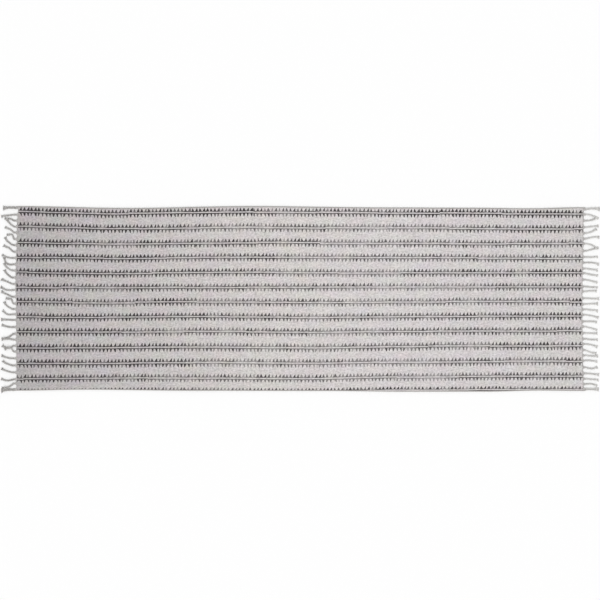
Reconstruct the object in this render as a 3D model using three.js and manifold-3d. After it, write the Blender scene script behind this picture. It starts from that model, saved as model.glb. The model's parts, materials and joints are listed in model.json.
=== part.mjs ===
// Fringed cotton runner rug: a flatwoven cloth with two selvedges, a scalloped heading across each end and
// a row of twisted, knotted tassels at both ends. Millimetres. X runs along the rug (east is +X), Y across
// it (north is +Y), Z up. The origin is on the floor, under the middle of the whole rug.
import * as THREE from "three";
import { mergeVertices } from "three/addons/utils/BufferGeometryUtils.js";
import Module from "manifold-3d";

const wasm = await Module();
wasm.setup();

// Cloth
const overallLength = 2440; // over the fringe tips
const clothWidth = 754; // over the selvedges, where the cloth is widest
const westReach = 64; // from the cloth's west end to the fringe tips
const eastReach = 67;
const clothThickness = 4;
const edgeStep = 40; // spacing of the points along a wavy edge
const gap = 0.3; // between neighbouring pieces

// Edge warps and end headings
const selvedgeWidth = 4;
const selvedgeHeight = 4.6;
const headingWidth = 5;
const headingHeight = 4.4;
const scallopReach = 7; // how far the warps draw out to a tassel's root
const scallopBase = 15; // across a scallop where it leaves the heading
const scallopTip = 4; // across it where the tassel starts

// Tassels
const westDiameter = 6.2; // of a tassel at the west end, where the twist has loosened
const eastDiameter = 5.6;
const tasselSides = 6;
const tasselSteps = 8;
const knotStep = 6; // the step that swells into the knot
const knotSwell = 1.3; // how much wider the knot is than its tassel
const routePoints = 24; // along a tassel's route
const rootEase = 0.15; // share of a tassel that turns from straight out to its own lean
const twinSpacing = 5; // between the two tassels of a corner root

const westEnd = -overallLength / 2 + westReach;
const eastEnd = overallLength / 2 - eastReach;

// How far each edge lies inside the cloth's widest outline: [place along the edge, inset], eased between.
const northInset = [[-1156, 0], [-700, 8.5], [-200, 0.5], [380, 6], [700, 7], [940, 9.5], [1153, 5]];
const southInset = [[-1156, 4], [-880, 8], [-430, 4], [120, 3], [420, 0], [760, 0], [980, 4.5], [1153, 3]];
const westInset = [[-377, 3.5], [-40, 2.5], [60, 0], [300, 6], [377, 11]];
const eastInset = [[-377, 0], [-220, 3], [-60, 5], [100, 4], [220, 1], [377, 0]];

// One row for each tassel root, from the north corner to the south one: [distance from the root before it,
// lean, turn, wave, length]. Lean is the direction at the root, turn is what the tassel curves by on its
// way, and wave is an S-bend on top of that. They are in degrees, with north positive at both ends.
const westRoots = [
  [6, 0, -4, 3, 62],
  [29, 2, -18, -4, 69],
  [24, -8, 40, 26, 54],
  [25, 26, 36, 0, 56],
  [24, 20, 20, 20, 57],
  [27, 30, 4, 50, 55],
  [24, -4, 88, 12, 63],
  [27, 2, 62, 30, 63],
  [25, -4, 36, 0, 61],
  [26, -12, 96, -10, 67],
  [25, -4, 84, 8, 62],
  [29, 0, 84, 10, 61],
  [26, 6, 34, 12, 63],
  [24, -14, 52, 0, 65],
  [28, -4, 56, 16, 67],
  [28, 6, 60, 60, 57],
  [22, -6, 86, 10, 63],
  [21, -2, 42, -14, 63],
  [23, 4, -4, 0, 63],
  [29, -16, 52, 8, 61],
  [27, -36, 22, -6, 65],
  [24, 8, -8, 4, 61],
  [25, -30, 60, -14, 63],
  [24, 44, -50, 30, 57],
  [27, -8, 40, 4, 63],
  [29, -14, 70, 12, 62],
  [28, -8, 50, 6, 65],
  [28, -30, 62, 0, 65],
  [17, -42, 36, -6, 65],
  [25, -4, 0, 4, 63],
];
const eastRoots = [
  [7, 6, -12, 4, 67],
  [22, 4, -44, -4, 64],
  [25, -6, 42, 0, 62],
  [27, 6, -2, 2, 62],
  [24, 10, 22, -4, 58],
  [23, 14, -12, 4, 67],
  [20, 2, -50, -2, 64],
  [29, 10, 8, 2, 64],
  [25, 0, 2, -4, 61],
  [23, 3, -18, 2, 67],
  [24, -9, 2, 2, 63],
  [19, -18, 14, 0, 64],
  [26, -16, 4, 3, 62],
  [28, -4, 0, -3, 62],
  [20, 2, 2, 3, 58],
  [28, 0, -4, -2, 69],
  [24, 2, 0, 2, 64],
  [21, -2, -8, -2, 64],
  [22, -8, -8, 2, 68],
  [27, -1, -2, 3, 60],
  [21, -18, 6, 2, 62],
  [26, -10, 14, 4, 61],
  [24, -8, 8, -2, 62],
  [21, -2, -22, 2, 62],
  [24, -34, 32, 0, 58],
  [22, -6, 4, -3, 62],
  [21, 2, -16, 2, 60],
  [27, -36, 70, 4, 61],
  [25, -9, 6, 2, 65],
  [22, -5, 0, -2, 62],
  [22, 4, -22, 6, 58],
  [20, 0, -4, 2, 62],
];
// Tassels that lie on each other, numbered from the north corner, share one piece.
const westTangles = [[3, 4], [9, 10], [21, 22], [23, 24], [29, 30]];
const eastTangles = [[2, 3], [7, 8]];

// Value of a line of [place, value] points, eased from each to the next.
function easedAt(line, place) {
  const after = line.findIndex((point) => point[0] > place);
  if (after === 0) return line[0][1];
  if (after < 0) return line[line.length - 1][1];
  const [from, low] = line[after - 1];
  const [to, high] = line[after];
  return low + (high - low) * THREE.MathUtils.smoothstep(place, from, to);
}

const { lerp } = THREE.MathUtils;
const northEdge = (x) => clothWidth / 2 - easedAt(northInset, x);
const southEdge = (x) => -clothWidth / 2 + easedAt(southInset, x);
const westEdge = (y) => westEnd + easedAt(westInset, y);
const eastEdge = (y) => eastEnd - easedAt(eastInset, y);

// A point of the cloth. East and north go from 0 to 1 across it, and the margins are kept off its edges.
function clothPoint(east, north, endMargin, sideMargin) {
  const level = lerp(-clothWidth / 2, clothWidth / 2, north);
  const x = lerp(westEdge(level) + endMargin, eastEdge(level) - endMargin, east);
  const y = lerp(southEdge(x) + sideMargin, northEdge(x) - sideMargin, north);
  return new THREE.Vector2(x, y);
}

// Numbers from 0 to 1 that split a length into steps of about edgeStep.
function shares(length) {
  const count = Math.round(length / edgeStep);
  return Array.from({ length: count + 1 }, (_, i) => i / count);
}

const alongShares = shares(overallLength);
const acrossShares = shares(clothWidth);

const colours = { cloth: "#cfcac8", selvedge: "#a8a4a1", heading: "#c2bebb", tassel: "#b9b7b0" };
const rug = new THREE.Group();

function addPiece(name, kind, geometry) {
  const fabric = new THREE.MeshStandardMaterial({ color: colours[kind], roughness: 0.95, metalness: 0 });
  const mesh = new THREE.Mesh(geometry, fabric);
  mesh.name = name;
  rug.add(mesh);
}

function slab(outline, thickness) {
  return new THREE.ExtrudeGeometry(new THREE.Shape(outline), { depth: thickness, bevelEnabled: false });
}

function makeCloth() {
  const ends = headingWidth + gap;
  const sides = selvedgeWidth + gap;
  const outline = [
    ...alongShares.map((share) => clothPoint(share, 0, ends, sides)),
    ...acrossShares.slice(1).map((share) => clothPoint(1, share, ends, sides)),
    ...alongShares.slice(1).map((share) => clothPoint(1 - share, 1, ends, sides)),
    ...acrossShares.slice(1, -1).map((share) => clothPoint(0, 1 - share, ends, sides)),
  ];
  addPiece("rug_cloth", "cloth", slab(outline, clothThickness));
}

// The edge warps run the whole length of one long side, past the headings.
function makeSelvedge(name, north) {
  const outer = alongShares.map((share) => clothPoint(share, north, 0, 0));
  const inner = alongShares.map((share) => clothPoint(share, north, 0, selvedgeWidth));
  addPiece(name, "selvedge", slab([...outer, ...inner.reverse()], selvedgeHeight));
}

// Both ends of the rug, each with its outward direction and the level of every tassel root.
function endOf(name, outward, edge, diameter, roots, tangles) {
  const northCorner = northEdge(edge(clothWidth / 2));
  const levels = [];
  roots.reduce((below, [step]) => {
    levels.push(northCorner - below - step);
    return below + step;
  }, 0);
  return { name, outward, edge, diameter, roots, tangles, levels };
}

// The locking weft, drawn out into a scallop at every root.
function makeHeading({ name, outward, edge, levels }) {
  const east = outward > 0 ? 1 : 0;
  const margin = selvedgeWidth + gap;
  const northSide = clothPoint(east, 1, 0, margin).y;
  const southSide = clothPoint(east, 0, 0, margin).y;
  const outer = [];
  const addOuter = (y, reach) => outer.push(new THREE.Vector2(edge(y) + outward * reach, y));
  addOuter(northSide, 0);
  for (const level of levels) {
    const top = Math.min(level + scallopBase / 2, northSide - gap);
    const bottom = Math.max(level - scallopBase / 2, southSide + gap);
    addOuter(top, 0);
    addOuter(level + scallopTip / 2, scallopReach);
    addOuter(level - scallopTip / 2, scallopReach);
    addOuter(bottom, 0);
  }
  addOuter(southSide, 0);
  const inner = acrossShares.map((share) => clothPoint(east, share, headingWidth, margin));
  addPiece(`${name}_heading`, "heading", slab([...outer, ...inner], headingHeight));
}

function solidOf(geometry) {
  geometry.deleteAttribute("normal");
  geometry.deleteAttribute("uv");
  const merged = mergeVertices(geometry);
  const vertProperties = merged.attributes.position.array;
  const triVerts = new Uint32Array(merged.index.array);
  return new wasm.Manifold(new wasm.Mesh({ numProp: 3, vertProperties, triVerts }));
}

// One closed body from shapes that lie on each other.
function joined(shapes) {
  if (shapes.length === 1) return shapes[0];
  const mesh = shapes.map(solidOf).reduce((sum, solid) => sum.add(solid)).getMesh();
  const geometry = new THREE.BufferGeometry();
  geometry.setAttribute("position", new THREE.BufferAttribute(mesh.vertProperties, 3));
  geometry.setIndex(new THREE.BufferAttribute(mesh.triVerts, 1));
  return geometry;
}

// A tassel's route along the floor, from its scallop's tip. It rises a little where the knot is thicker.
function tasselRoute({ edge, outward, diameter }, level, [, lean, turn, wave, length]) {
  const { smoothstep, degToRad } = THREE.MathUtils;
  const step = (length - scallopReach) / routePoints;
  const place = new THREE.Vector3(edge(level) + outward * (scallopReach + gap), level, diameter / 2);
  const route = [place.clone()];
  for (let i = 1; i <= routePoints; i += 1) {
    const share = (i - 0.5) / routePoints;
    const bend = lean + turn * share + wave * Math.sin(2 * Math.PI * share);
    const heading = degToRad(bend) * smoothstep(share, 0, rootEase);
    const fromKnot = Math.abs(i / routePoints - knotStep / tasselSteps) * tasselSteps;
    place.x += outward * Math.cos(heading) * step;
    place.y += Math.sin(heading) * step;
    place.z = (diameter / 2) * lerp(knotSwell, 1, smoothstep(fromKnot, 0, 1));
    route.push(place.clone());
  }
  return new THREE.CatmullRomCurve3(route);
}

// One tassel: its twisted cord, which swells into the knot that ends it.
function tasselGeometry(end, level, row) {
  const route = tasselRoute(end, level, row);
  const radius = end.diameter / 2;
  const section = new THREE.Shape();
  section.moveTo(radius, 0);
  for (let side = 1; side < tasselSides; side += 1) {
    const angle = (2 * Math.PI * side) / tasselSides;
    section.lineTo(radius * Math.cos(angle), radius * Math.sin(angle));
  }
  const cord = new THREE.ExtrudeGeometry(section, { steps: tasselSteps, extrudePath: route });
  const knotPlace = route.getPointAt(knotStep / tasselSteps);
  const corners = cord.attributes.position;
  for (let i = 0; i < corners.count; i += 1) {
    const arm = new THREE.Vector3().fromBufferAttribute(corners, i).sub(knotPlace);
    if (arm.length() < radius + gap) {
      arm.multiplyScalar(knotSwell).add(knotPlace);
      corners.setXYZ(i, arm.x, arm.y, arm.z);
    }
  }
  return cord;
}

// All the tassels of one end. A corner root carries two of them.
function makeTassels(end) {
  const last = end.roots.length;
  const isCorner = (number) => number === 1 || number === last;
  const groups = [...end.tangles];
  for (let number = 1; number <= last; number += 1) {
    if (!end.tangles.flat().includes(number)) groups.push([number]);
  }
  groups.sort((a, b) => a[0] - b[0]);
  for (const group of groups) {
    const shapes = [];
    for (const number of group) {
      const sides = isCorner(number) ? [twinSpacing / 2, -twinSpacing / 2] : [0];
      for (const side of sides) {
        shapes.push(tasselGeometry(end, end.levels[number - 1] + side, end.roots[number - 1]));
      }
    }
    const numbers = group.map((number) => String(number).padStart(2, "0")).join("_");
    const word = shapes.length > 1 ? "tassels" : "tassel";
    addPiece(`${end.name}_${word}_${numbers}`, "tassel", joined(shapes));
  }
}

makeCloth();
makeSelvedge("north_selvedge", 1);
makeSelvedge("south_selvedge", 0);
const ends = [
  endOf("west", -1, westEdge, westDiameter, westRoots, westTangles),
  endOf("east", 1, eastEdge, eastDiameter, eastRoots, eastTangles),
];
for (const end of ends) {
  makeHeading(end);
  makeTassels(end);
}

export default rug;
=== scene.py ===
import json
import math
import random

import bpy
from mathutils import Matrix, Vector, noise


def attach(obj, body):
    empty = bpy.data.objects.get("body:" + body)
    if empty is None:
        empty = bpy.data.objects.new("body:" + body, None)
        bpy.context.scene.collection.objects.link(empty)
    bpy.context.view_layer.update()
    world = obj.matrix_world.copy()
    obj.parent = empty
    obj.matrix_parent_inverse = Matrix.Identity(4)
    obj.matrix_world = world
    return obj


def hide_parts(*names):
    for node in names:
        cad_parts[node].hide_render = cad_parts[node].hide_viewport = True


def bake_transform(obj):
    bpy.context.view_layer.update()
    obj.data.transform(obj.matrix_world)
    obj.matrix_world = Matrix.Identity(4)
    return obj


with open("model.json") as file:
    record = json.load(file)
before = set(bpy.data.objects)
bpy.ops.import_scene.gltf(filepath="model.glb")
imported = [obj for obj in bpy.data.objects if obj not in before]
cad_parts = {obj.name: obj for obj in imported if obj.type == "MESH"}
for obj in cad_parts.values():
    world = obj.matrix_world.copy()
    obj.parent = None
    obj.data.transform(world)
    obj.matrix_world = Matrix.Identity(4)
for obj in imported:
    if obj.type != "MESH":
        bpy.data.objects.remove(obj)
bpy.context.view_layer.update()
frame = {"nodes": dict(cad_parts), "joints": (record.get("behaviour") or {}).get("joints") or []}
print("frame loaded:", len(frame["nodes"]), "nodes")

# Distances in this script are millimetres, and addPiece turns them into metres.
# X runs along the rug with east at +X, Y across it with north at +Y, and Z is up.
toMetres = 0.001

# The rug's outline. An inset line is [place along the edge, how far the edge lies inside].
outline = {
    "width": 754,
    "westEnd": -1156,
    "eastEnd": 1153,
    "north": [[-1156, 0], [-700, 8.5], [-200, 0.5], [380, 6], [700, 7], [940, 9.5], [1153, 5]],
    "south": [[-1156, 4], [-880, 8], [-430, 4], [120, 3], [420, 0], [760, 0], [980, 4.5], [1153, 3]],
    "west": [[-377, 3.5], [-40, 2.5], [60, 0], [300, 6], [377, 11]],
    "east": [[-377, 0], [-220, 3], [-60, 5], [100, 4], [220, 1], [377, 0]],
}

camera = {"lens": 100, "sensor": 36, "viewWidth": 2440, "north": -4.3}

studio = {
    "floorSize": 30000,
    "floorDrop": 0.6,  # below the rug, so the two never share a surface
    "floorColour": "fbfbfb",
    "skyColour": "ffffff",
    "skyStrength": 0.72,
    "sunStrength": 1.15,
    "sunSoftness": 40,  # degrees across
    "sunTilt": (32, 0, 24),
}


def smooth(share):
    share = min(max(share, 0), 1)
    return share * share * (3 - 2 * share)


def mix(low, high, share):
    return low + (high - low) * share


# Value of a line of [place, value] points, eased from each to the next.
def eased(line, place):
    if place <= line[0][0]:
        return line[0][1]
    for (start, low), (end, high) in zip(line, line[1:]):
        if place <= end:
            return mix(low, high, smooth((place - start) / (end - start)))
    return line[-1][1]


def northEdge(x):
    return outline["width"] / 2 - eased(outline["north"], x)


def southEdge(x):
    return -outline["width"] / 2 + eased(outline["south"], x)


def westEdge(y):
    return outline["westEnd"] + eased(outline["west"], y)


def eastEdge(y):
    return outline["eastEnd"] - eased(outline["east"], y)


# A place on the cloth. East and north go from 0 to 1 across it, margins keep off its edges.
def clothPlace(east, north, endMargin, sideMargin):
    half = outline["width"] / 2
    level = mix(-half, half, north)
    x = mix(westEdge(level) + endMargin, eastEdge(level) - endMargin, east)
    y = mix(southEdge(x) + sideMargin, northEdge(x) - sideMargin, north)
    return x, y


ripple = {
    "height": 2.2,
    "along": 330,
    "across": 210,
    "endRun": 110,
    "level": 0.35,  # of the height, between the waves
    "wave": 0.7,
    "sway": 0.6,  # the longer waves under the others
}


# How far the laid cloth stands off the floor: low soft waves that die out at both ends.
def liftAt(x, y):
    wave = noise.noise(Vector((x / ripple["along"], y / ripple["across"], 4.2)))
    sway = noise.noise(Vector((x / ripple["along"] / 3, y / ripple["across"] / 2, 9.1)))
    fromEnd = min(x - outline["westEnd"], outline["eastEnd"] - x)
    calm = smooth(fromEnd / ripple["endRun"])
    lift = ripple["level"] + wave * ripple["wave"] + sway * ripple["sway"]
    return max(0, lift) * ripple["height"] * calm


def newParts():
    return {"points": [], "faces": [], "slots": [], "place": []}


# A closed tube along a path. Place holds (distance along, turn round, tone) for the yarn's twist.
def addTube(parts, path, radii, sides, tone, slot=0):
    path = [Vector(p) for p in path]
    across = Vector((0, 0, 1)).cross(path[1] - path[0])
    if across.length < 1e-6:  # a path that sets off straight up
        across = Vector((0, 1, 0))
    start = len(parts["points"])
    run = 0
    for i, centre in enumerate(path):
        ahead = (path[min(i + 1, len(path) - 1)] - path[max(i - 1, 0)]).normalized()
        across = (across - across.dot(ahead) * ahead).normalized()
        above = ahead.cross(across)
        run += (centre - path[i - 1]).length if i else 0
        for k in range(sides):
            angle = 2 * math.pi * k / sides
            arm = across * math.cos(angle) + above * math.sin(angle)
            parts["points"].append(centre + arm * radii[i])
            parts["place"].append((run, k / sides, tone))
    last = len(path) - 1
    for i in range(last):
        for k in range(sides):
            a = start + i * sides + k
            b = start + i * sides + (k + 1) % sides
            parts["faces"].append((a, b, b + sides, a + sides))
            parts["slots"].append(slot)
    parts["faces"].append(tuple(start + k for k in reversed(range(sides))))
    parts["faces"].append(tuple(start + last * sides + k for k in range(sides)))
    parts["slots"] += [slot, slot]


# A closed sheet over a grid of columns and rows, from functions that place its two faces.
def addSheet(parts, columns, rows, topAt, bottomAt):
    start = len(parts["points"])
    layer = (columns + 1) * (rows + 1)
    for place, reverse in ((topAt, 0), (bottomAt, 1)):
        for i in range(columns + 1):
            for j in range(rows + 1):
                x, y, z = place(i, j)
                parts["points"].append(Vector((x, y, z)))
                parts["place"].append(printPlace(x, y, reverse))

    def at(i, j):
        return start + i * (rows + 1) + j

    faces = []
    for i in range(columns):
        for j in range(rows):
            a, b, c, d = at(i, j), at(i + 1, j), at(i + 1, j + 1), at(i, j + 1)
            faces.append((a, b, c, d))
            faces.append((d + layer, c + layer, b + layer, a + layer))
    rim = [at(i, 0) for i in range(columns)] + [at(columns, j) for j in range(rows)]
    rim += [at(i, rows) for i in range(columns, 0, -1)] + [at(0, j) for j in range(rows, 0, -1)]
    for a, b in zip(rim, rim[1:] + rim[:1]):
        faces.append((b, a, a + layer, b + layer))
    parts["faces"] += faces
    parts["slots"] += [0] * len(faces)


# Makes an object of the parts. The attribute carries each point's place for the materials.
def addPiece(name, parts, materials, attribute):
    mesh = bpy.data.meshes.new(name)
    mesh.from_pydata([p * toMetres for p in parts["points"]], [], parts["faces"])
    mesh.polygons.foreach_set("material_index", parts["slots"])
    mesh.polygons.foreach_set("use_smooth", [True] * len(parts["faces"]))
    mesh.set_sharp_from_angle(angle=math.radians(50))
    place = mesh.attributes.new(attribute, "FLOAT_VECTOR", "POINT")
    place.data.foreach_set("vector", [n for p in parts["place"] for n in p])
    for material in materials:
        mesh.materials.append(material)
    piece = bpy.data.objects.new(name, mesh)
    bpy.context.scene.collection.objects.link(piece)
    return piece


def colourOf(code):
    channels = [int(code[i : i + 2], 16) / 255 for i in (0, 2, 4)]
    linear = [c / 12.92 if c < 0.04045 else ((c + 0.055) / 1.055) ** 2.4 for c in channels]
    return (*linear, 1)


def newMaterial(name):
    material = bpy.data.materials.new(name)
    material.use_nodes = True
    tree = material.node_tree
    return material, tree, tree.nodes["Principled BSDF"]


def feed(tree, socket, value):
    if isinstance(value, bpy.types.NodeSocket):
        tree.links.new(value, socket)
    elif value is not None:
        socket.default_value = value


def calc(tree, operation, *values, clamp=False):
    node = tree.nodes.new("ShaderNodeMath")
    node.operation = operation
    node.use_clamp = clamp
    for socket, value in zip(node.inputs, values):
        feed(tree, socket, value)
    return node.outputs[0]


def placeOf(tree, attribute):
    read = tree.nodes.new("ShaderNodeAttribute")
    read.attribute_name = attribute
    split = tree.nodes.new("ShaderNodeSeparateXYZ")
    tree.links.new(read.outputs["Vector"], split.inputs[0])
    return split.outputs


def joinPlace(tree, x, y, z):
    node = tree.nodes.new("ShaderNodeCombineXYZ")
    for socket, value in zip(node.inputs, (x, y, z)):
        feed(tree, socket, value)
    return node.outputs[0]


# Three even random numbers for each whole-numbered place.
def dice(tree, x, y, z):
    node = tree.nodes.new("ShaderNodeTexWhiteNoise")
    tree.links.new(joinPlace(tree, x, y, z), node.inputs["Vector"])
    split = tree.nodes.new("ShaderNodeSeparateXYZ")
    tree.links.new(node.outputs["Color"], split.inputs[0])
    return split.outputs


# Soft noise whose grains are sizeX by sizeY millimetres.
def grain(tree, along, across, sizeX, sizeY, seed, detail=2, colour=False):
    node = tree.nodes.new("ShaderNodeTexNoise")
    node.inputs["Scale"].default_value = 1
    node.inputs["Detail"].default_value = detail
    x = calc(tree, "DIVIDE", along, sizeX)
    y = calc(tree, "DIVIDE", across, sizeY)
    tree.links.new(joinPlace(tree, x, y, seed), node.inputs["Vector"])
    return node.outputs["Color" if colour else "Fac"]


def blendColours(tree, kind, factor, a, b):
    node = tree.nodes.new("ShaderNodeMix")
    node.data_type = "RGBA"
    node.blend_type = kind
    feed(tree, node.inputs["Factor"], factor)
    feed(tree, node.inputs["A"], a)
    feed(tree, node.inputs["B"], b)
    return node.outputs["Result"]


# Cotton hardly shines, and its fuzz catches light at the sides.
def setCotton(shader, sheen):
    shader.inputs["Specular IOR Level"].default_value = 0.2
    shader.inputs["Sheen Weight"].default_value = sheen
    shader.inputs["Sheen Roughness"].default_value = 0.6


def addBump(tree, shader, height, strength, distance):
    node = tree.nodes.new("ShaderNodeBump")
    node.inputs["Strength"].default_value = strength
    node.inputs["Distance"].default_value = distance * toMetres
    tree.links.new(height, node.inputs["Height"])
    tree.links.new(node.outputs["Normal"], shader.inputs["Normal"])


blockPrint = {
    "bandPitch": 61.11,
    "firstBand": 26.3,  # from the cloth's widest north edge to the first plain gap
    "toothPitch": 14.87,
    "blockTeeth": 17,  # teeth on one hand block
    "lineFrom": 4.1,  # from the gap's middle to the base lines
    "toothHeight": 13.9,
    "step": 3.6,  # how far one block may sit off the next
    "slip": 0.4,  # and how far it may slip along, in teeth
    "ink": "383435",
    "bleedSize": 1.9,  # one grain of the ragged edge where ink crept into the threads
    # how far the bands wander south, along the north side, along the south side and by depth
    "northDrift": [[-1140, -6], [-960, -1], [-760, 4], [-160, -3], [430, 2], [900, 5]],
    "southDrift": [[-1140, 5], [-550, 0], [0, 4], [430, -4], [900, -7]],
    "depthDrift": [[0, 0], [150, 1], [520, -5], [700, 0], [754, -8]],
    # ink along the rug: denser ink at the west end, with painted shade for the light falling off there
    "inkAndShadeAlong": [(0, 1.0), (0.1, 0.93), (0.5, 0.7), (1, 0.86)],
}

# Widths and leans are in tooth pitches. The hanging values change them for teeth south of a gap.
blockTooth = {
    "lean": -0.1,  # of the tip, east is positive
    "leanSpread": 0.46,
    "hangingLean": -0.14,
    "foot": 0.32,  # half the width at the base line
    "footSpread": 0.18,
    "hangingFoot": -0.16,
    "taper": -0.9,
    "hangingTaper": 0.12,
    "bleed": 0.22,
    "sideEdge": 14,  # how sharp the sides, the tip and the root are
    "tipEdge": 12,
    "rootEdge": 20,
    "fullness": 0.5,  # below 1, more teeth are fully inked than faint
    "ink": 0.54,
    "inkSpread": 0.5,
}
baseLine = {
    "half": 1.7,  # half the thickness of an upper line
    "lowerBy": 0.3,  # a lower line is this much thicker on each side
    "bleed": 1.6,
    "edge": 1.6,
    "gapSize": (34, 9),
    "gapGain": 3,
    "gapShift": -0.75,
    "lowerLeast": 0.8,
}
pressing = {
    "patchSize": (75, 40),
    "patch": 0.48,
    "patchSpread": 1.1,
    "block": 0.95,
    "blockSpread": 0.3,
    "freshBand": 0.18,
    "worn": 0.86,  # ink left between the threads, and what the threads add
    "threads": 0.45,
}


# Where a point lies in the print: (distance from the west end, depth from the north, reverse).
def printPlace(x, y, reverse):
    depth = outline["width"] / 2 - y
    share = depth / outline["width"]
    drift = mix(eased(blockPrint["northDrift"], x), eased(blockPrint["southDrift"], x), share)
    drift += eased(blockPrint["depthDrift"], depth)
    return x - outline["westEnd"], depth - drift, reverse


# Cover by the teeth, each with its own lean, width and ink. Below is 1 south of a gap.
def toothCover(tree, along, band, reach, below, blockShift, bleed):
    t = blockTooth
    shift = calc(tree, "MULTIPLY", blockShift, blockPrint["slip"])
    toothShare = calc(tree, "MULTIPLY_ADD", along, 1 / blockPrint["toothPitch"], shift)
    tooth = calc(tree, "FLOOR", toothShare)
    acrossTooth = calc(tree, "SUBTRACT", calc(tree, "FRACT", toothShare), 0.5)
    leanDice, widthDice, inkDice = dice(tree, tooth, band, calc(tree, "ADD", below, 21))

    height = calc(tree, "SUBTRACT", reach, blockPrint["lineFrom"])
    height = calc(tree, "DIVIDE", height, blockPrint["toothHeight"])
    # upper teeth lean east, hanging ones fall either way and are narrower
    lean = calc(tree, "MULTIPLY_ADD", leanDice, t["leanSpread"], t["lean"])
    lean = calc(tree, "MULTIPLY_ADD", below, t["hangingLean"], lean)
    fromMiddle = calc(tree, "MULTIPLY", lean, height)
    fromMiddle = calc(tree, "ABSOLUTE", calc(tree, "SUBTRACT", acrossTooth, fromMiddle))
    foot = calc(tree, "MULTIPLY_ADD", widthDice, t["footSpread"], t["foot"])
    foot = calc(tree, "MULTIPLY", foot, calc(tree, "MULTIPLY_ADD", below, t["hangingFoot"], 1))
    taper = calc(tree, "MULTIPLY_ADD", below, t["hangingTaper"], t["taper"])
    halfWidth = calc(tree, "MULTIPLY", foot, calc(tree, "MULTIPLY_ADD", taper, height, 1))
    side = calc(tree, "SUBTRACT", halfWidth, fromMiddle)
    side = calc(tree, "MULTIPLY_ADD", bleed, t["bleed"], side)
    side = calc(tree, "MULTIPLY_ADD", side, t["sideEdge"], 0.5, clamp=True)
    tip = calc(tree, "MULTIPLY_ADD", height, -t["tipEdge"], t["tipEdge"], clamp=True)
    root = calc(tree, "MULTIPLY_ADD", height, t["rootEdge"], 1, clamp=True)
    inked = calc(tree, "POWER", inkDice, t["fullness"])
    inked = calc(tree, "MULTIPLY_ADD", inked, t["inkSpread"], t["ink"])
    return calc(tree, "MULTIPLY", calc(tree, "MULTIPLY", side, calc(tree, "MULTIPLY", tip, root)), inked)


# Cover by the base lines: the upper one is broken in places, the lower one is whole and strong.
def lineCover(tree, along, depth, reach, below, bleed):
    b = baseLine
    half = calc(tree, "MULTIPLY_ADD", below, b["lowerBy"], b["half"])
    fromLine = calc(tree, "ABSOLUTE", calc(tree, "SUBTRACT", reach, blockPrint["lineFrom"]))
    line = calc(tree, "SUBTRACT", half, fromLine)
    line = calc(tree, "MULTIPLY_ADD", bleed, b["bleed"], line)
    line = calc(tree, "MULTIPLY_ADD", line, b["edge"], 0.5, clamp=True)
    broken = grain(tree, along, depth, *b["gapSize"], 5)
    broken = calc(tree, "MULTIPLY_ADD", broken, b["gapGain"], b["gapShift"], clamp=True)
    broken = calc(tree, "MAXIMUM", broken, calc(tree, "MULTIPLY", below, b["lowerLeast"]))
    return calc(tree, "MULTIPLY", line, broken)


# Ink cover from 0 to 1: toothed bands, pressed block by block.
def inkCover(tree, along, depth, threads):
    p = blockPrint
    pitch = p["bandPitch"]
    bandShare = calc(tree, "MULTIPLY_ADD", depth, 1 / pitch, 0.5 - p["firstBand"] / pitch)
    band = calc(tree, "FLOOR", bandShare)
    fromGap = calc(tree, "SUBTRACT", calc(tree, "FRACT", bandShare), 0.5)
    fromGap = calc(tree, "MULTIPLY", fromGap, pitch)

    blockLength = p["blockTeeth"] * p["toothPitch"]
    start = dice(tree, band, 3, 7)[0]
    blockShare = calc(tree, "MULTIPLY_ADD", along, 1 / blockLength, start)
    block = calc(tree, "FLOOR", blockShare)
    blockStep, blockInk, blockShift = dice(tree, block, band, 11)
    step = calc(tree, "MULTIPLY_ADD", blockStep, p["step"], -p["step"] / 2)
    fromGap = calc(tree, "ADD", fromGap, step)
    below = calc(tree, "GREATER_THAN", fromGap, 0)
    reach = calc(tree, "ABSOLUTE", fromGap)

    bleed = calc(tree, "SUBTRACT", grain(tree, along, depth, p["bleedSize"], p["bleedSize"], 3, 3), 0.5)
    toothInk = toothCover(tree, along, band, reach, below, blockShift, bleed)
    lineInk = lineCover(tree, along, depth, reach, below, bleed)
    cover = calc(tree, "MAXIMUM", toothInk, lineInk)

    patch = grain(tree, along, depth, *pressing["patchSize"], 8)
    patch = calc(tree, "MULTIPLY_ADD", patch, pressing["patchSpread"], pressing["patch"])
    pressed = calc(tree, "MULTIPLY_ADD", blockInk, pressing["blockSpread"], pressing["block"])
    cover = calc(tree, "MULTIPLY", cover, calc(tree, "MULTIPLY", patch, pressed))
    # ink cover along the rug, with painted shade towards the west end
    cover = calc(tree, "MULTIPLY", cover, inkStrengthAndShadeAlong(tree, along))
    # the northernmost band took the most ink
    fresh = calc(tree, "LESS_THAN", band, 0.5)
    fresh = calc(tree, "MULTIPLY_ADD", fresh, pressing["freshBand"], 1)
    cover = calc(tree, "MULTIPLY", cover, fresh)
    worn = calc(tree, "MULTIPLY_ADD", threads, pressing["threads"], pressing["worn"])
    return calc(tree, "MULTIPLY", cover, worn, clamp=True)


# The ink is heaviest at the west end, partly denser ink and partly painted shade for the light falling
# off there, and lightest near the middle.
def inkStrengthAndShadeAlong(tree, along):
    node = tree.nodes.new("ShaderNodeFloatCurve")
    length = outline["eastEnd"] - outline["westEnd"]
    tree.links.new(calc(tree, "DIVIDE", along, length), node.inputs["Value"])
    curve = node.mapping.curves[0]
    stops = blockPrint["inkAndShadeAlong"]
    curve.points[0].location = stops[0]
    curve.points[1].location = stops[-1]
    for stop in stops[1:-1]:
        curve.points.new(*stop)
    node.mapping.update()
    return node.outputs[0]


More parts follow.
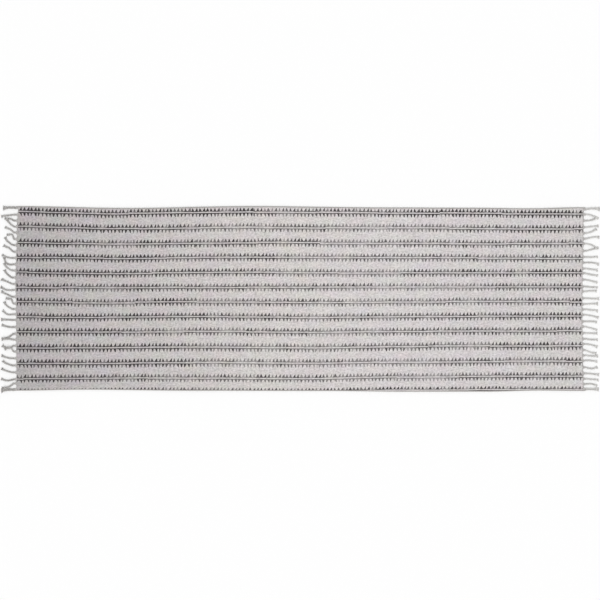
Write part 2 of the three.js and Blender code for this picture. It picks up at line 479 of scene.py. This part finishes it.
weave = {
    "rib": 3.1,  # one warp to the next
    "pick": 2.3,  # one weft to the next
    "slub": 8.5,  # the run of one tone along a warp
    "bump": 0.55,
    "bumpDepth": 0.7,
    "roughness": 0.92,
    "sheen": 0.08,
    "through": 0.22,  # the share of the ink that shows on the underside
    "ground": 0.955,
    # the size of each unevenness, along and across the rug, and how much it shows
    "castSize": (62, 46),
    "cast": 0.17,
    "fadeSize": (46, 30),
    "fade": 0.15,
    "streakSize": (3.6, 46),
    "streak": 0.3,
    "speckSize": (7.2, 6.2),
    "speck": 0.8,
    "heather": 0.22,
    # painted shade in the weave: how much darker its low grooves are than its ribs
    "grooveShade": 0.09,
    # the cloth is greyest at its west end and palest past the middle: painted shade for light that falls
    # off towards the west end, and a little towards the east end
    "tonesWithFalloffShade": [(0, "b2aeae"), (0.13, "bfbaba"), (0.45, "d2cdcb"), (0.65, "d4cfcf"), (1, "cfcbca")],
}


# Rise and fall of the flatweave: ribs over the warps, crossed by picks that swap sides.
def wovenHeight(tree, along, depth):
    ribShare = calc(tree, "DIVIDE", depth, weave["rib"])
    rib = calc(tree, "ABSOLUTE", calc(tree, "SINE", calc(tree, "MULTIPLY", ribShare, math.pi)))
    odd = calc(tree, "MODULO", calc(tree, "FLOOR", ribShare), 2)
    turn = calc(tree, "MULTIPLY", along, 2 * math.pi / weave["pick"])
    turn = calc(tree, "MULTIPLY_ADD", odd, math.pi, turn)
    pick = calc(tree, "MULTIPLY_ADD", calc(tree, "SINE", turn), 0.5, 0.5)
    return calc(tree, "MULTIPLY", rib, calc(tree, "MULTIPLY_ADD", pick, 0.6, 0.4))


# The cloth's colour along its length, with painted shade where the light falls off towards its ends.
def toneAndShadeAlong(tree, along):
    ramp = tree.nodes.new("ShaderNodeValToRGB")
    length = outline["eastEnd"] - outline["westEnd"]
    tree.links.new(calc(tree, "DIVIDE", along, length), ramp.inputs[0])
    stops = ramp.color_ramp.elements
    for place, tone in weave["tonesWithFalloffShade"][1:-1]:
        stops.new(place).color = colourOf(tone)
    stops[0].color = colourOf(weave["tonesWithFalloffShade"][0][1])
    stops[-1].color = colourOf(weave["tonesWithFalloffShade"][-1][1])
    return ramp.outputs[0]


def clothMaterial():
    material, tree, shader = newMaterial("block printed cotton")
    along, depth, reverse = placeOf(tree, "print_place")
    height = wovenHeight(tree, along, depth)
    w = weave

    # washed-out patches with a faint warm, pink or green cast
    cast = grain(tree, along, depth, *w["castSize"], 14, 3, colour=True)
    ground = blendColours(tree, "SOFT_LIGHT", w["cast"], toneAndShadeAlong(tree, along), cast)
    faded = calc(tree, "SUBTRACT", grain(tree, along, depth, *w["fadeSize"], 12, 3), 0.5)
    # thick and thin picks show as short streaks across the rug, and slubs as specks
    streak = calc(tree, "SUBTRACT", grain(tree, along, depth, *w["streakSize"], 17, 3), 0.5)
    speck = calc(tree, "SUBTRACT", grain(tree, along, depth, *w["speckSize"], 23, 2), 0.5)
    shade = calc(tree, "MULTIPLY_ADD", streak, w["streak"], w["ground"])
    shade = calc(tree, "MULTIPLY_ADD", speck, w["speck"], shade)
    shade = calc(tree, "MULTIPLY_ADD", faded, w["fade"], shade)
    # each warp is a yarn of its own, paler and greyer by turns
    warp = calc(tree, "FLOOR", calc(tree, "DIVIDE", depth, w["rib"]))
    slub = calc(tree, "MULTIPLY_ADD", along, 1 / w["slub"], dice(tree, warp, 1, 41)[0])
    heather = calc(tree, "SUBTRACT", dice(tree, warp, calc(tree, "FLOOR", slub), 43)[0], 0.5)
    shade = calc(tree, "MULTIPLY_ADD", heather, w["heather"], shade)
    # painted shade: the colour darkens where the woven height is low, in the grooves between ribs and
    # picks
    shade = calc(tree, "MULTIPLY_ADD", height, w["grooveShade"], shade)
    ground = blendColours(tree, "MULTIPLY", 1.0, ground, joinPlace(tree, shade, shade, shade))

    threads = calc(tree, "MULTIPLY_ADD", height, 0.8, calc(tree, "MULTIPLY", speck, 1.2))
    cover = inkCover(tree, along, depth, threads)
    through = calc(tree, "MULTIPLY_ADD", reverse, w["through"] - 1, 1)
    cover = calc(tree, "MULTIPLY", cover, through)
    colour = blendColours(tree, "MIX", cover, ground, colourOf(blockPrint["ink"]))
    tree.links.new(colour, shader.inputs["Base Color"])

    rough = calc(tree, "MULTIPLY_ADD", cover, -0.1, w["roughness"])  # the ink is a little smoother
    tree.links.new(rough, shader.inputs["Roughness"])
    setCotton(shader, w["sheen"])
    relief = calc(tree, "MULTIPLY_ADD", streak, 0.9, height)
    addBump(tree, shader, relief, w["bump"], w["bumpDepth"])
    return material


cloth = {"along": 194, "across": 252, "thickness": 3.1, "endMargin": 4.2, "sideMargin": 3.2}


def makeCloth(material):
    parts = newParts()
    ends, sides = cloth["endMargin"], cloth["sideMargin"]
    places = {}
    for i in range(cloth["along"] + 1):
        for j in range(cloth["across"] + 1):
            x, y = clothPlace(i / cloth["along"], j / cloth["across"], ends, sides)
            places[i, j] = (x, y, liftAt(x, y))

    def topAt(i, j):
        x, y, z = places[i, j]
        return x, y, z + cloth["thickness"]

    addSheet(parts, cloth["along"], cloth["across"], topAt, lambda i, j: places[i, j])
    piece = addPiece("cotton_cloth", parts, [material], "print_place")
    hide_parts("rug_cloth")
    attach(piece, "cloth")
    print("cloth made:", len(parts["faces"]), "faces")
    return piece


yarn = {
    "twist": 2.4,  # one turn of the fibres
    "bump": 0.5,
    "bumpDepth": 0.25,
    "roughness": 0.92,
    "sheen": 0.1,
    # what sets the dull colour's share: soft patches, the yarn's own tone, and painted shade in the
    # grooves of its twist
    "soilSize": (14, 1),
    "soilAndShade": 0.9,
    "soilShift": -0.3,
    "tone": 0.7,
    "twistShade": -0.1,
    "fuzzSize": (0.7, 0.12),
    "fuzz": 0.8,
}


# Cotton yarn with its fibres twisted round it, dirtier in places, with painted shade in the grooves of
# the twist.
def yarnMaterial(name, pale, dull):
    material, tree, shader = newMaterial(name)
    run, turn, tone = placeOf(tree, "yarn_place")
    twist = calc(tree, "MULTIPLY_ADD", run, 1 / yarn["twist"], calc(tree, "MULTIPLY", turn, 2))
    twist = calc(tree, "SINE", calc(tree, "MULTIPLY", twist, 2 * math.pi))
    seed = calc(tree, "MULTIPLY", tone, 40)
    soilAndShade = grain(tree, run, turn, *yarn["soilSize"], seed, 2)
    soilAndShade = calc(tree, "MULTIPLY_ADD", soilAndShade, yarn["soilAndShade"], yarn["soilShift"])
    soilAndShade = calc(tree, "MULTIPLY_ADD", tone, yarn["tone"], soilAndShade)
    # painted shade: duller in the twist's grooves, paler on its ridges
    soilAndShade = calc(tree, "MULTIPLY_ADD", twist, yarn["twistShade"], soilAndShade, clamp=True)
    colour = blendColours(tree, "MIX", soilAndShade, colourOf(pale), colourOf(dull))
    tree.links.new(colour, shader.inputs["Base Color"])
    rough = calc(tree, "MULTIPLY_ADD", soilAndShade, 0.04, yarn["roughness"])
    tree.links.new(rough, shader.inputs["Roughness"])
    setCotton(shader, yarn["sheen"])
    fuzz = grain(tree, run, turn, *yarn["fuzzSize"], 31, 2)
    relief = calc(tree, "MULTIPLY_ADD", fuzz, yarn["fuzz"], calc(tree, "MULTIPLY", twist, 0.5))
    addBump(tree, shader, relief, yarn["bump"], yarn["bumpDepth"])
    return material


selvedge = {
    "width": 4,
    "height": 2.15,
    "radius": 2.05,
    "ringStep": 1.6,
    "turnStep": 4.6,
    "slim": 0.87,  # of the radius, between the weft's turns, and what a turn and the yarn add
    "swell": 0.13,
    "uneven": 0.05,
    "tone": 0.55,
    "sides": 9,
    "past": 6.4,  # how far it runs on past the cloth's end, into the corner tassels
}


# The doubled edge warps of one long side, with the weft turning round them.
def makeSelvedge(name, north, material, node):
    parts = newParts()
    length = outline["eastEnd"] - outline["westEnd"]
    rings = int(length / selvedge["ringStep"])
    path, radii = [], []
    for i in range(rings + 1):
        x, y = clothPlace(i / rings, north, -selvedge["past"], selvedge["width"] / 2)
        turned = abs(math.sin(math.pi * i * selvedge["ringStep"] / selvedge["turnStep"]))
        uneven = noise.noise(Vector((x / 9, 3.3, north * 7)))
        path.append((x, y, selvedge["height"] + liftAt(x, y)))
        girth = selvedge["slim"] + selvedge["swell"] * turned + selvedge["uneven"] * uneven
        radii.append(selvedge["radius"] * girth)
    addTube(parts, path, radii, selvedge["sides"], selvedge["tone"])
    piece = addPiece(name, parts, [material], "yarn_place")
    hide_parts(node)
    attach(piece, "cloth")
    return piece


# Tassel rows, from the north corner to the south one:
# [distance from the root before it, lean, turn, wave, length], angles in degrees towards north

westRoots = [
    [6, 0, -4, 3, 62],
    [29, 2, -18, -4, 69],
    [24, -8, 40, 26, 54],
    [25, 26, 36, 0, 56],
    [24, 20, 20, 20, 57],
    [27, 30, 4, 50, 55],
    [24, -4, 88, 12, 63],
    [27, 2, 62, 30, 63],
    [25, -4, 36, 0, 61],
    [26, -12, 96, -10, 67],
    [25, -4, 84, 8, 62],
    [29, 0, 84, 10, 61],
    [26, 6, 34, 12, 63],
    [24, -14, 52, 0, 65],
    [28, -4, 56, 16, 67],
    [28, 6, 60, 60, 57],
    [22, -6, 86, 10, 63],
    [21, -2, 42, -14, 63],
    [23, 4, -4, 0, 63],
    [29, -16, 52, 8, 61],
    [27, -36, 22, -6, 65],
    [24, 8, -8, 4, 61],
    [25, -30, 60, -14, 63],
    [24, 44, -50, 30, 57],
    [27, -8, 40, 4, 63],
    [29, -14, 70, 12, 62],
    [28, -8, 50, 6, 65],
    [28, -30, 62, 0, 65],
    [17, -42, 36, -6, 65],
    [25, -4, 0, 4, 63],
]
eastRoots = [
    [7, 6, -12, 4, 67],
    [22, 4, -44, -4, 64],
    [25, -6, 42, 0, 62],
    [27, 6, -2, 2, 62],
    [24, 10, 22, -4, 58],
    [23, 14, -12, 4, 67],
    [20, 2, -50, -2, 64],
    [29, 10, 8, 2, 64],
    [25, 0, 2, -4, 61],
    [23, 3, -18, 2, 67],
    [24, -9, 2, 2, 63],
    [19, -18, 14, 0, 64],
    [26, -16, 4, 3, 62],
    [28, -4, 0, -3, 62],
    [20, 2, 2, 3, 58],
    [28, 0, -4, -2, 69],
    [24, 2, 0, 2, 64],
    [21, -2, -8, -2, 64],
    [22, -8, -8, 2, 68],
    [27, -1, -2, 3, 60],
    [21, -18, 6, 2, 62],
    [26, -10, 14, 4, 61],
    [24, -8, 8, -2, 62],
    [21, -2, -22, 2, 62],
    [24, -34, 32, 0, 58],
    [22, -6, 4, -3, 62],
    [21, 2, -16, 2, 60],
    [27, -36, 70, 4, 61],
    [25, -9, 6, 2, 65],
    [22, -5, 0, -2, 62],
    [22, 4, -22, 6, 58],
    [20, 0, -4, 2, 62],
]


# Where each root sits across the rug, from the distances between them.
def levelsOf(roots, edge):
    below = northEdge(edge(outline["width"] / 2))
    levels = []
    for row in roots:
        below -= row[0]
        levels.append(below)
    return levels


westFringe = {
    "name": "west",
    "outward": -1,
    "edge": westEdge,
    "diameter": 6.2,
    "roots": westRoots,
    "tangles": [[3, 4], [9, 10], [21, 22], [23, 24], [29, 30]],  # tassels that lie on each other
}
eastFringe = {
    "name": "east",
    "outward": 1,
    "edge": eastEdge,
    "diameter": 5.6,
    "roots": eastRoots,
    "tangles": [[2, 3], [7, 8]],
}


# One end's settings, with the level of each root and the place of the fold line.
def endOf(fringe):
    joint = next(j for j in frame["joints"] if j["child"] == fringe["name"] + "_fringe")
    levels = levelsOf(fringe["roots"], fringe["edge"])
    return {**fringe, "levels": levels, "axis": joint["pos_m"]}


heading = {
    "scallopReach": 7,
    "sideMargin": 4.3,
    "webRows": 4,
    "webReach": 4.2,
    "webHalf": 6,
    "webInner": 5.2,
    "webStep": 1.5,
    "webTop": 3.25,
    "webTip": 2.5,
    "webFloor": 0.25,
    "weftInset": 2.3,
    "weftPitch": 8.5,
    "weftSpread": 0.55,
    "weftRadius": 0.72,
    "weftHeight": 3.25,
    "weftStep": 1.3,
    "weftTone": 0.35,
    "warps": 9,
    "warpSpan": 6.6,
    "warpRadius": 0.9,
    "warpTip": 0.85,  # of the radius
    "warpPoints": 9,
    "warpInset": 1.5,
    "warpMargin": 0.8,
    "warpStray": 0.4,
    "warpHeight": 2.7,
    "tipHeight": 2.4,
    "tipStray": 0.9,
    "tipHalf": 1.5,
    "tipPast": 3,
    # the same at a corner, where the warps part to two tassels
    "cornerInset": 3.5,
    "cornerHalf": 2.1,
    "cornerPart": 2.1,
    "cornerThick": 1.35,
}


# How far the cloth's end is drawn out towards the nearest tassel root.
def drawnOut(end, y):
    nearest = min(abs(y - level) for level in end["levels"])
    share = max(0, 1 - nearest / heading["webHalf"])
    return heading["webReach"] * smooth(share) * share


# The scalloped web, drawn out a little at each root.
def addWeb(parts, end, southSide, northSide):
    out, edge = end["outward"], end["edge"]
    steps = round((northSide - southSide) / heading["webStep"])

    def webAt(i, j, top):
        y = mix(southSide, northSide, (i if out < 0 else steps - i) / steps)
        inner = edge(y) - out * heading["webInner"]
        outer = edge(y) + out * drawnOut(end, y)
        share = j / heading["webRows"]
        x = mix(inner, outer, share)
        if top:
            return x, y, mix(heading["webTop"], heading["webTip"], smooth(share * 1.4 - 0.4))
        return x, y, heading["webFloor"]

    addSheet(
        parts,
        steps,
        heading["webRows"],
        lambda i, j: webAt(i, j, True),
        lambda i, j: webAt(i, j, False),
    )


# The locking weft: two strands twined along the cloth's end.
def addWeft(parts, end, southSide, northSide):
    out, edge = end["outward"], end["edge"]
    steps = round((northSide - southSide) / heading["weftStep"])
    for strand in (0, math.pi):
        path = []
        for i in range(steps + 1):
            y = mix(southSide, northSide, i / steps)
            turn = 2 * math.pi * (y - southSide) / heading["weftPitch"] + strand
            x = edge(y) - out * heading["weftInset"] + math.cos(turn) * heading["weftSpread"]
            path.append((x, y, heading["weftHeight"] + math.sin(turn) * heading["weftSpread"]))
        addTube(parts, path, [heading["weftRadius"]] * len(path), 7, heading["weftTone"], slot=1)


# The warps of one root, which gather from the cloth into the tassel.
def addWarps(parts, end, level, corner, southSide, northSide, chance):
    h = heading
    out, edge = end["outward"], end["edge"]
    half = h["cornerHalf"] if corner else h["tipHalf"]
    inset = h["cornerInset"] if corner else h["warpInset"]
    thick = h["warpRadius"] * (h["cornerThick"] if corner else 1)
    last = h["warpPoints"] - 1
    for k in range(h["warps"]):
        share = 2 * k / (h["warps"] - 1) - 1
        startY = level + share * h["warpSpan"] + chance.uniform(-h["warpStray"], h["warpStray"])
        startY = min(max(startY, southSide + h["warpMargin"]), northSide - h["warpMargin"])
        part = (h["cornerPart"] if share > 0 else -h["cornerPart"]) if corner else 0
        rootY = level + part + share * half
        startX = edge(startY) - out * inset
        rootX = edge(level) + out * (h["scallopReach"] + h["tipPast"])
        lowest = h["tipHeight"] + chance.uniform(-h["tipStray"], h["tipStray"]) * (1 - abs(share))
        path = []
        for i in range(last + 1):
            go = i / last
            y = mix(startY, rootY, smooth(go * 1.15))
            path.append((mix(startX, rootX, go), y, mix(h["warpHeight"], lowest, smooth(go))))
        radii = [thick * mix(1, h["warpTip"], i / last) for i in range(last + 1)]
        addTube(parts, path, radii, 6, chance.uniform(0.2, 0.7), slot=1)


# The end of the cloth: its scalloped web, a twined locking weft, and the warps that gather.
def makeHeading(end, clothLook, yarnLook):
    parts = newParts()
    east = 1 if end["outward"] > 0 else 0
    northSide = clothPlace(east, 1, 0, heading["sideMargin"])[1]
    southSide = clothPlace(east, 0, 0, heading["sideMargin"])[1]
    addWeb(parts, end, southSide, northSide)
    webPoints = len(parts["points"])
    addWeft(parts, end, southSide, northSide)
    chance = random.Random(5 + east)
    for number, level in enumerate(end["levels"], 1):
        corner = number in (1, len(end["levels"]))
        addWarps(parts, end, level, corner, southSide, northSide, chance)

    piece = addPiece(end["name"] + "_end_weft", parts, [clothLook, yarnLook], "print_place")
    yarnPlace = piece.data.attributes.new("yarn_place", "FLOAT_VECTOR", "POINT")
    yarnPlace.data.foreach_set("vector", [n for p in parts["place"] for n in p])
    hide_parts(end["name"] + "_heading")
    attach(piece, "cloth")
    print(end["name"], "heading made:", webPoints, "web points")
    return piece


tassel = {
    "routePoints": 24,
    "rootEase": 0.15,
    "knotShare": 0.75,
    "knotSwell": 1.3,
    "swellShare": 1 / 8,  # of the tassel, over which the knot swells on each side
    "gap": 0.3,
    "twinSpacing": 5,
    "twinSlim": 0.8,  # a corner tassel is thinner than the others
    "ringStep": 0.9,
    "plySides": 8,
    "plyRadius": 0.275,  # as a share of the tassel's diameter
    "plyOffset": 0.235,
    "plyPitch": 14,
    "cornerPitch": 2.2,  # a corner tassel's plies turn this many times slower
    "plyUneven": 0.14,
    "looseYarns": 4,  # fluffed out of the twist
    "looseRadius": 0.45,
    "looseOut": 0.47,  # from the middle, in diameters
    "looseStray": 0.22,
    "looseTurn": 0.6,  # of the plies' turn
    "looseWide": 1.12,
    "looseHigh": 0.9,
    "rootSpread": 0.6,  # how much wider the plies stand where they leave the cloth
    "rootRun": 10,
    "hop": 0.92,  # how far a tassel climbs over the one that it crosses, in diameters
    "hopEasing": 8,
    "bendRun": 16,  # a length past the fold line
}
knot = {
    "turns": 2.3,
    "ringsPerTurn": 14,
    "coil": 0.4,  # this and the next three are in diameters
    "radius": 0.25,
    "advance": 0.34,
    "tilt": 0.13,
}
brush = {
    "strands": 18,
    "points": 7,
    "start": 1.2,  # past the knot's middle
    "radius": 0.8,
    "tipRadius": 0.42,
    "splay": 0.42,
    "curl": 0.35,
    "wide": 0.28,  # at the knot, in diameters, and its height there and at the tips
    "high": 0.3,
    "tipHigh": 0.4,
    "lowest": 0.65,
}


# The route that a tassel takes along the floor from its scallop's tip.
def tasselRoute(end, level, row):
    lean, turn, wave, length = row[1:]
    reach = heading["scallopReach"]
    count = tassel["routePoints"]
    step = (length - reach) / count
    x = end["edge"](level) + end["outward"] * (reach + tassel["gap"])
    y = level
    route = [Vector((x, y, end["diameter"] / 2))]
    for i in range(1, count + 1):
        share = (i - 0.5) / count
        bend = lean + turn * share + wave * math.sin(2 * math.pi * share)
        bearing = math.radians(bend) * smooth(share / tassel["rootEase"])
        x += end["outward"] * math.cos(bearing) * step
        y += math.sin(bearing) * step
        fromKnot = abs(i / count - tassel["knotShare"]) / tassel["swellShare"]
        z = end["diameter"] / 2 * mix(tassel["knotSwell"], 1, smooth(fromKnot))
        route.append(Vector((x, y, z)))
    return route


# A finer route, with its points evenly spaced.
def resample(route, step):
    lengths = [0]
    for a, b in zip(route, route[1:]):
        lengths.append(lengths[-1] + (b - a).length)
    count = max(2, round(lengths[-1] / step))
    fine, k = [], 0
    for i in range(count + 1):
        run = lengths[-1] * i / count
        while k < len(route) - 2 and lengths[k + 1] < run:
            k += 1
        share = (run - lengths[k]) / (lengths[k + 1] - lengths[k])
        fine.append(route[k].lerp(route[k + 1], min(max(share, 0), 1)))
    return fine


# Lifts a route over the one that it crosses, in a long low hump.
def hopOver(route, under, diameter):
    lifts = []
    for point in route:
        near = min((point.xy - other.xy).length for other in under)
        lifts.append(tassel["hop"] * diameter * (1 - smooth(near / diameter - 0.5)))
    for _ in range(tassel["hopEasing"]):
        padded = [0] + lifts + [lifts[-1]]
        lifts = [(a + 2 * b + c) / 4 for a, b, c in zip(padded, padded[1:], padded[2:])]
    return [p + Vector((0, 0, lift)) for p, lift in zip(route, lifts)]


def framesOf(route):
    frames = []
    for i in range(len(route)):
        ahead = (route[min(i + 1, len(route) - 1)] - route[max(i - 1, 0)]).normalized()
        side = Vector((0, 0, 1)).cross(ahead).normalized()
        frames.append((ahead, side, ahead.cross(side)))
    return frames


# Two plies twisted together, from the root to inside the knot, with loose yarns if they are slack.
def addPlies(parts, route, frames, last, diameter, slack, chance):
    tone = chance.uniform(0.15, 0.85)
    start = chance.uniform(0, 2 * math.pi)
    pitch = tassel["plyPitch"] * chance.uniform(0.85, 1.2) * (1 if slack else tassel["cornerPitch"])
    for ply in (0, math.pi):
        path, radii = [], []
        for i in range(last + 1):
            ahead, side, above = frames[i]
            turn = start + ply + 2 * math.pi * i * tassel["ringStep"] / pitch
            fromRoot = smooth(i * tassel["ringStep"] / tassel["rootRun"])
            spread = 1 + tassel["rootSpread"] * (1 - fromRoot)
            arm = side * math.cos(turn) * spread + above * math.sin(turn)
            uneven = noise.noise(Vector((i * 0.16, tone * 90, ply)))
            path.append(route[i] + arm * tassel["plyOffset"] * diameter)
            radii.append(tassel["plyRadius"] * diameter * (1 + tassel["plyUneven"] * uneven))
        addTube(parts, path, radii, tassel["plySides"], tone)
    if slack:
        addLooseYarns(parts, route, frames, last, diameter, pitch, tone, chance)


# Yarns that stand a little off the plies and turn with them.
def addLooseYarns(parts, route, frames, last, diameter, pitch, tone, chance):
    t = tassel
    for k in range(t["looseYarns"]):
        path = []
        seed = chance.uniform(0, 99)
        for i in range(0, last + 1, 2):
            ahead, side, above = frames[i]
            turn = 2 * math.pi * (k / t["looseYarns"] + t["looseTurn"] * i * t["ringStep"] / pitch)
            stray = noise.noise(Vector((i * 0.09, seed, 1)))
            out = diameter * (t["looseOut"] + t["looseStray"] * stray)
            arm = side * math.cos(turn) * t["looseWide"] + above * math.sin(turn) * t["looseHigh"]
            point = route[i] + arm * out
            path.append(Vector((point.x, point.y, max(point.z, t["looseRadius"]))))
        addTube(parts, path, [t["looseRadius"]] * len(path), 5, min(tone + 0.1, 1))


# The overhand knot: the cord wound round itself and pulled tight.
def addKnot(parts, centre, ahead, side, above, diameter, chance):
    rings = round(knot["turns"] * knot["ringsPerTurn"])
    tone = chance.uniform(0.2, 0.8)
    lean = knot["tilt"] * chance.uniform(-1, 1)
    path = []
    for i in range(rings + 1):
        share = i / rings
        turn = 2 * math.pi * knot["turns"] * share
        coil = knot["coil"] * diameter * smooth(min(share, 1 - share) * 6 + 0.25)
        run = (knot["advance"] * knot["turns"] * (share - 0.5) + lean * math.cos(turn)) * diameter
        arm = side * math.cos(turn) + above * math.sin(turn)
        path.append(centre + ahead * run + arm * coil)
    addTube(parts, path, [knot["radius"] * diameter] * len(path), 7, tone)


# The cut yarn ends past the knot, splayed and resting on the floor.
def addBrush(parts, start, ahead, side, length, diameter, chance):
    steps = brush["points"] - 1
    for k in range(brush["strands"]):
        around = 2 * math.pi * k / brush["strands"]
        spread = brush["splay"] * chance.uniform(0.2, 1.25)
        sideways = math.cos(around) * spread
        rise = math.sin(around)
        curl = chance.uniform(-0.5, 0.5)
        reach = length * chance.uniform(0.76, 1.08)
        path = []
        for i in range(steps + 1):
            go = i / steps
            bend = sideways * go + curl * go * go * brush["curl"]
            endZ = brush["lowest"] + max(rise, 0) * brush["tipHigh"] * diameter
            z = mix(start.z + rise * brush["high"] * diameter, endZ, smooth(go * 1.1))
            across = bend * reach + math.cos(around) * brush["wide"] * diameter
            point = start + ahead * reach * go + side * across
            path.append(Vector((point.x, point.y, max(z, brush["lowest"]))))
        radii = [mix(brush["radius"], brush["tipRadius"], i / steps) for i in range(steps + 1)]
        addTube(parts, path, radii, 5, chance.uniform(0.1, 0.9))


def addTassel(parts, route, diameter, slack, chance):
    frames = framesOf(route)
    last = round(tassel["knotShare"] * (len(route) - 1))
    addPlies(parts, route, frames, last, diameter, slack, chance)
    ahead, side, above = frames[last]
    addKnot(parts, route[last], ahead, side, above, diameter, chance)
    tipLength = (route[-1] - route[last]).length
    tipAhead = (route[-1] - route[last]).normalized()
    tipAhead = Vector((tipAhead.x, tipAhead.y, 0)).normalized()
    tipSide = Vector((0, 0, 1)).cross(tipAhead)
    brushStart = route[last] + tipAhead * brush["start"]
    addBrush(parts, brushStart, tipAhead, tipSide, tipLength - brush["start"], diameter, chance)


# Every tassel of one end. A corner root carries two, and tassels in a tangle share a piece.
def makeTassels(end, material):
    last = len(end["roots"])
    groups = list(end["tangles"])
    groups += [[n] for n in range(1, last + 1) if not any(n in t for t in end["tangles"])]
    pieces = []
    for group in sorted(groups):
        parts = newParts()
        laid = []
        for number in sorted(group, key=lambda n: n not in (1, last)):
            corner = number in (1, last)
            sides = [tassel["twinSpacing"] / 2, -tassel["twinSpacing"] / 2] if corner else [0]
            for offset in sides:
                chance = random.Random(number * 10 + round(offset) + 1000 * end["outward"])
                level = end["levels"][number - 1] + offset
                route = resample(tasselRoute(end, level, end["roots"][number - 1]), tassel["ringStep"])
                if laid and not corner:
                    under = [point for other in laid for point in other]
                    route = hopOver(route, under, end["diameter"])
                diameter = end["diameter"] * (tassel["twinSlim"] if corner else 1)
                addTassel(parts, route, diameter, not corner, chance)
                laid.append(route)
        numbers = "_".join(f"{number:02d}" for number in group)
        piece = addPiece(f"{end['name']}_fringe_{numbers}", parts, [material], "yarn_place")
        node = f"{end['name']}_{'tassels' if len(laid) > 1 else 'tassel'}_{numbers}"
        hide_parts(node)
        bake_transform(piece)
        pieces.append(piece)
    print(end["name"], "tassels made:", len(pieces), "pieces")
    return pieces


def makeCamera():
    data = bpy.data.cameras.new("overhead camera")
    data.lens = camera["lens"]
    data.sensor_width = camera["sensor"]
    eye = bpy.data.objects.new("overhead camera", data)
    height = camera["viewWidth"] * camera["lens"] / camera["sensor"]
    eye.location = Vector((0, camera["north"], height)) * toMetres
    bpy.context.scene.collection.objects.link(eye)
    bpy.context.scene.camera = eye
    print("camera", round(height), "mm above the rug")


def makeFloor():
    half = studio["floorSize"] / 2 * toMetres
    drop = -studio["floorDrop"] * toMetres
    mesh = bpy.data.meshes.new("studio_floor")
    corners = [(-half, -half, drop), (half, -half, drop), (half, half, drop), (-half, half, drop)]
    mesh.from_pydata(corners, [], [(0, 1, 2, 3)])
    material, _, shader = newMaterial("pale studio floor")
    shader.inputs["Base Color"].default_value = colourOf(studio["floorColour"])
    shader.inputs["Roughness"].default_value = 0.9
    shader.inputs["Specular IOR Level"].default_value = 0.1
    mesh.materials.append(material)
    floor = bpy.data.objects.new("studio_floor", mesh)
    bpy.context.scene.collection.objects.link(floor)


def makeLight():
    scene = bpy.context.scene
    world = bpy.data.worlds.new("soft white room")
    world.use_nodes = True
    sky = world.node_tree.nodes["Background"]
    sky.inputs["Color"].default_value = colourOf(studio["skyColour"])
    sky.inputs["Strength"].default_value = studio["skyStrength"]
    scene.world = world
    lamp = bpy.data.lights.new("soft key light", "SUN")
    lamp.energy = studio["sunStrength"]
    lamp.angle = math.radians(studio["sunSoftness"])
    key = bpy.data.objects.new("soft key light", lamp)
    key.rotation_euler = [math.radians(a) for a in studio["sunTilt"]]
    scene.collection.objects.link(key)
    scene.view_settings.view_transform = "Standard"


makeCamera()
makeFloor()
makeLight()

printedCotton = clothMaterial()
edgeYarn = yarnMaterial("greyed edge yarn", "b4b0ae", "98948f")
endYarn = yarnMaterial("natural end yarn", "c6c3c1", "b0adab")
# The west fringe's yarn is darker than the east's: painted shade for the light falling off towards the
# west end.
westShadedYarn = yarnMaterial("west fringe yarn", "c8c6c4", "9c9996")
eastYarn = yarnMaterial("east fringe yarn", "e0dfdd", "c2c0bd")

rugCloth = makeCloth(printedCotton)
withIt = [
    makeSelvedge("north_edge_cord", 1, edgeYarn, "north_selvedge"),
    makeSelvedge("south_edge_cord", 0, edgeYarn, "south_selvedge"),
]
print("selvedges made")
for fringe, look in ((westFringe, westShadedYarn), (eastFringe, eastYarn)):
    rugEnd = endOf(fringe)
    withIt.append(makeHeading(rugEnd, printedCotton, endYarn))
    withIt += makeTassels(rugEnd, look)

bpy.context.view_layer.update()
